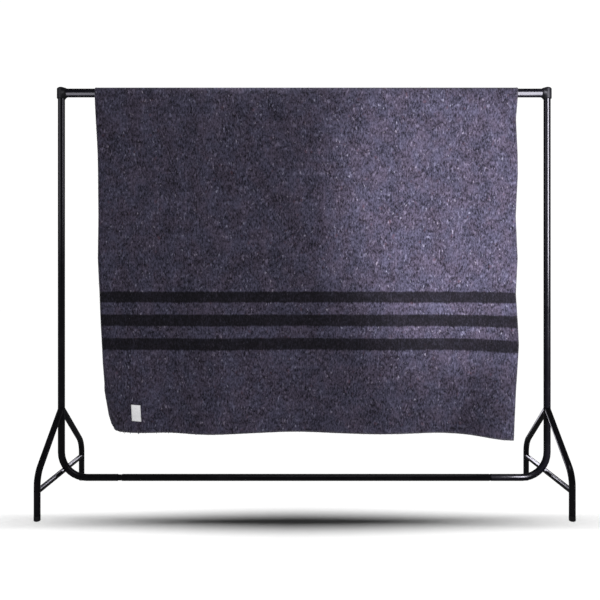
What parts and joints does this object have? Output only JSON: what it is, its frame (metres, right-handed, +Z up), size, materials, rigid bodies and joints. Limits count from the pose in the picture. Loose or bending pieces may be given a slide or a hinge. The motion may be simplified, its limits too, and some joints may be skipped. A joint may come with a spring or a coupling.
{
  "type": "wool blanket on garment rail",
  "caption": "Dark striped wool blanket hung over the top rail of a free-standing tubular garment rail with splayed legs.",
  "frame": {"origin": "on the floor, under the middle of the rack", "axes": "+X along the top rail to the right as seen from the front, +Y from the front drop towards the back drop, +Z up"},
  "size_m": [1.8364, 0.4824, 1.529],
  "materials": {
    "wool": "milled heathered wool, matt, with three darker stripes near each end",
    "woven_label": "white woven label, plain",
    "black_tube": "black gloss powder coat on steel tube",
    "black_plastic": "black moulded plastic"
  },
  "bodies": {
    "root": {"blanket": "wool", "label": "woven_label", "top_rail": "black_tube", "base_bar": "black_tube", "corner_fitting_left": "black_plastic", "corner_fitting_right": "black_plastic", "upright_left": "black_tube", "upright_right": "black_tube", "base_bend_left": "black_tube", "base_bend_right": "black_tube", "cross_bar_left": "black_tube", "cross_bar_right": "black_tube", "leg_front_left": "black_tube", "leg_back_left": "black_tube", "leg_front_right": "black_tube", "leg_back_right": "black_tube", "foot_cap_front_left": "black_plastic", "foot_cap_back_left": "black_plastic", "foot_cap_front_right": "black_plastic", "foot_cap_back_right": "black_plastic"}
  },
  "joints": []
}
